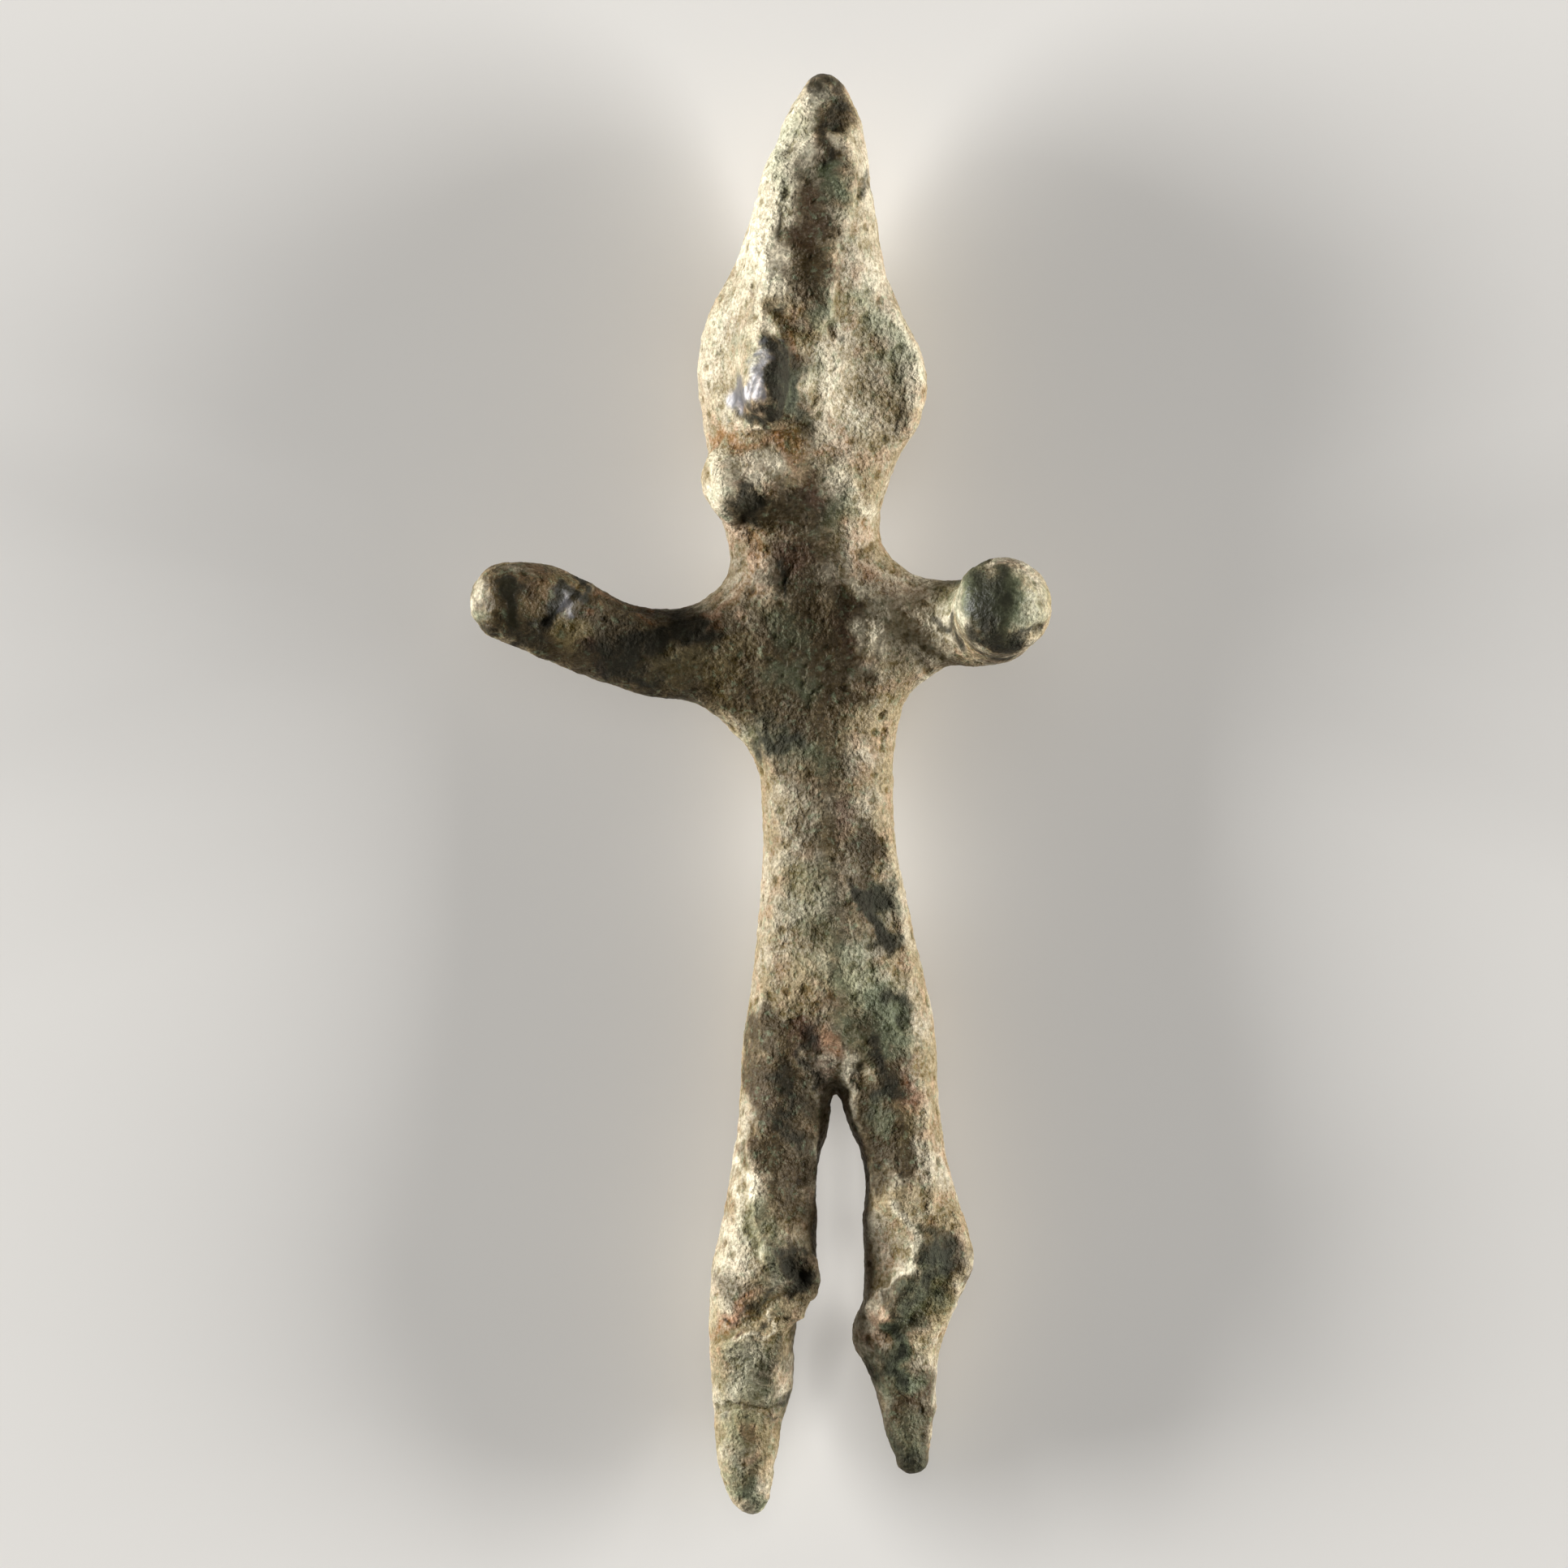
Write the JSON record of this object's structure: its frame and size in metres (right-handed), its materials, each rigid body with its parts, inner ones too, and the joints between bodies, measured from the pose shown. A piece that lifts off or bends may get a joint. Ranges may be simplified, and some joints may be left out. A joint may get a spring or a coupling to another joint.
{
  "type": "smiting god figurine",
  "caption": "Small solid-cast ancient bronze figurine with a tall pointed hat, outstretched arms and pegged legs, lying on its back.",
  "frame": {"origin": "on the resting plane, under the middle of the outline of the figure as it lies on its back", "axes": "+Y from the pegs to the tip of the hat, +Z out of the figure's front, away from the resting plane, and +X to the figure's left"},
  "size_m": [0.036, 0.09, 0.0182],
  "materials": {
    "bronze": "matt corroded bronze: a tan and olive crust with pale green and dark spots, worn to dark grey metal on the nose, the knees and the hands"
  },
  "bodies": {
    "root": {"figurine": "bronze"}
  },
  "joints": []
}
